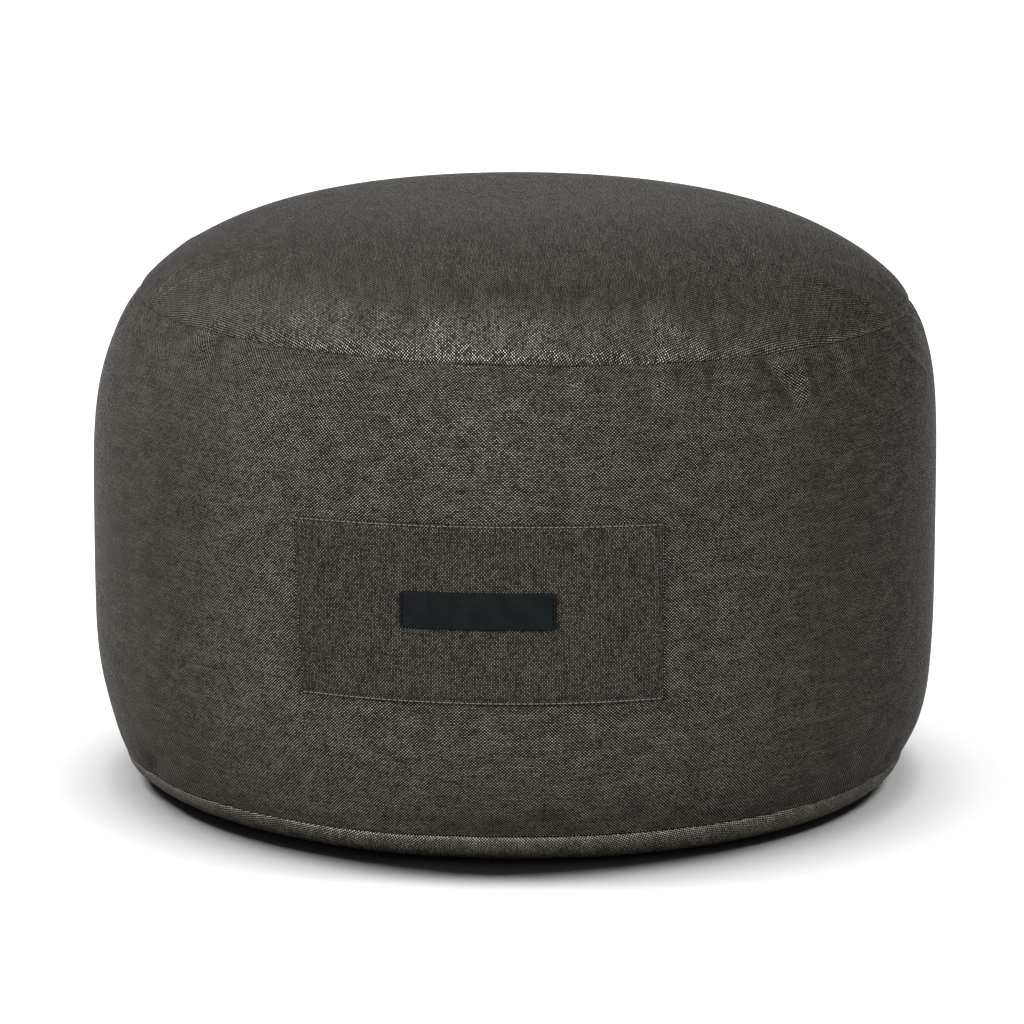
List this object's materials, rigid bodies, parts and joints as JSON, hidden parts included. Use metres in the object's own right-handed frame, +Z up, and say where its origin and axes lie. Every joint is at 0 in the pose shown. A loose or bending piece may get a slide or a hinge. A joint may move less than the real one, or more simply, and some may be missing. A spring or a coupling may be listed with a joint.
{
  "type": "round foam footstool",
  "caption": "Round filled footstool in woven melange cloth, with a crowned top, sewn panels, a front patch and a plain leather-like label.",
  "frame": {"origin": "on the floor, at the middle of the flat foot", "axes": "+Z up; the patch and its label face -Y"},
  "size_m": [0.5, 0.504, 0.349],
  "materials": {
    "melange_cloth": "coarse plain weave in charcoal brown with light flecks, matte",
    "base_cloth": "the same plain weave, matte",
    "patch_cloth": "the same plain weave turned a quarter, matte",
    "label_leather": "smooth blue-black leather-like strip, satin"
  },
  "bodies": {
    "root": {"top_panel": "melange_cloth", "side_band": "melange_cloth", "base_panel": "base_cloth", "front_patch": "patch_cloth", "front_label": "label_leather"}
  },
  "joints": []
}
